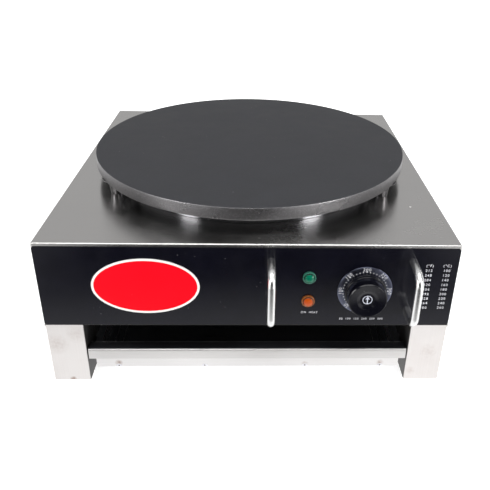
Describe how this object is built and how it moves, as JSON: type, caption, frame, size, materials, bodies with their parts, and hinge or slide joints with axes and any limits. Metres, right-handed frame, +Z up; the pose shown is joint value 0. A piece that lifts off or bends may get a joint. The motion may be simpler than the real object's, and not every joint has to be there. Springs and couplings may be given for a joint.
{
  "type": "electric crepe maker",
  "caption": "Countertop crepe maker: round cast griddle on a square stainless body with legs, knob thermostat, pilot lamps, guard handles and a slide-out tray.",
  "frame": {"origin": "on the floor, below the middle of the object's bounding box", "axes": "+Z up, +Y to the back (away from the knob), +X to the right seen from the front"},
  "size_m": [0.45, 0.5102, 0.2164],
  "materials": {
    "brushed_stainless": "fine horizontal brush",
    "satin_stainless": "pale satin with faint heat tint",
    "tray_steel": "mill finish with spot-weld marks",
    "polished_steel": "mirror polish",
    "panel_black": "satin black print",
    "badge_red": "gloss red with white edge",
    "griddle_coating": "matt non-stick coating",
    "element_metal": "oxidised tube",
    "plain_steel": "bright zinc",
    "insulation": "pressed fibre board",
    "copper": "drawn copper",
    "thermostat_case": "moulded resin",
    "dial_metal": "dark spun metal",
    "knob_black": "moulded, slightly glossy",
    "pointer_white": "white inlay",
    "lens_green": "clear green lens",
    "lens_amber": "clear amber lens",
    "lamp_plastic": "black nylon",
    "handle_chrome": "polished rod",
    "button_red": "moulded red",
    "gland_plastic": "black nylon",
    "seal_rubber": "soft black",
    "brass": "turned brass",
    "wire_sleeve": "glass-fibre sleeve"
  },
  "bodies": {
    "chassis": {"housing": "brushed_stainless", "base_pan": "satin_stainless", "leg_front_left": "satin_stainless", "leg_front_right": "satin_stainless", "leg_rear_left": "satin_stainless", "leg_rear_right": "satin_stainless", "tray_runner_left": "tray_steel", "tray_runner_right": "tray_steel", "tray_stop_bar": "tray_steel", "heater_pan": "polished_steel", "front_overlay": "panel_black", "badge_plate": "badge_red", "griddle_plate": "griddle_coating", "heater_outer": "element_metal", "heater_inner": "element_metal", "clamp_plate": "plain_steel", "base_screws": "plain_steel", "leg_bolts": "plain_steel", "plate_bolts": "plain_steel", "centre_stud": "plain_steel", "centre_washer": "plain_steel", "centre_nut": "plain_steel", "thermostat_screws": "plain_steel", "handle_screws": "plain_steel", "cutout_nut": "plain_steel", "insulation_board": "insulation", "sensor_bulb": "copper", "capillary_tube": "copper", "thermostat_body": "thermostat_case", "cutout_body": "thermostat_case", "dial_ring": "dial_metal", "lamp_lens_green": "lens_green", "lamp_lens_amber": "lens_amber", "lamp_bodies": "lamp_plastic", "lamp_nuts": "lamp_plastic", "terminal_block": "lamp_plastic", "guard_handle_left": "handle_chrome", "guard_handle_right": "handle_chrome", "gland_body": "gland_plastic", "gland_dome_nut": "gland_plastic", "gland_lock_nut": "gland_plastic", "gland_seal": "seal_rubber", "earth_stud": "brass", "earth_nuts": "brass", "internal_wires": "wire_sleeve"},
    "knob": {"knob": "knob_black", "knob_pointer": "pointer_white", "thermostat_shaft": "plain_steel"},
    "tray": {"tray_pan": "tray_steel", "tray_lip": "tray_steel"},
    "reset_button": {"reset_button": "button_red"}
  },
  "joints": [
    {"name": "knob_turn", "type": "hinge", "parent": "chassis", "child": "knob", "pos_m": [0.1255, -0.2177, 0.1266], "axis": [0, 1, 0], "range_deg": [-180, 90]},
    {"name": "tray_slide", "type": "slide", "parent": "chassis", "child": "tray", "axis": [0, -1, 0], "range_m": [0, 0.3]},
    {"name": "reset_press", "type": "slide", "parent": "chassis", "child": "reset_button", "axis": [0, -1, 0], "range_m": [0, 0.002], "stiffness_N_per_m": 500}
  ]
}
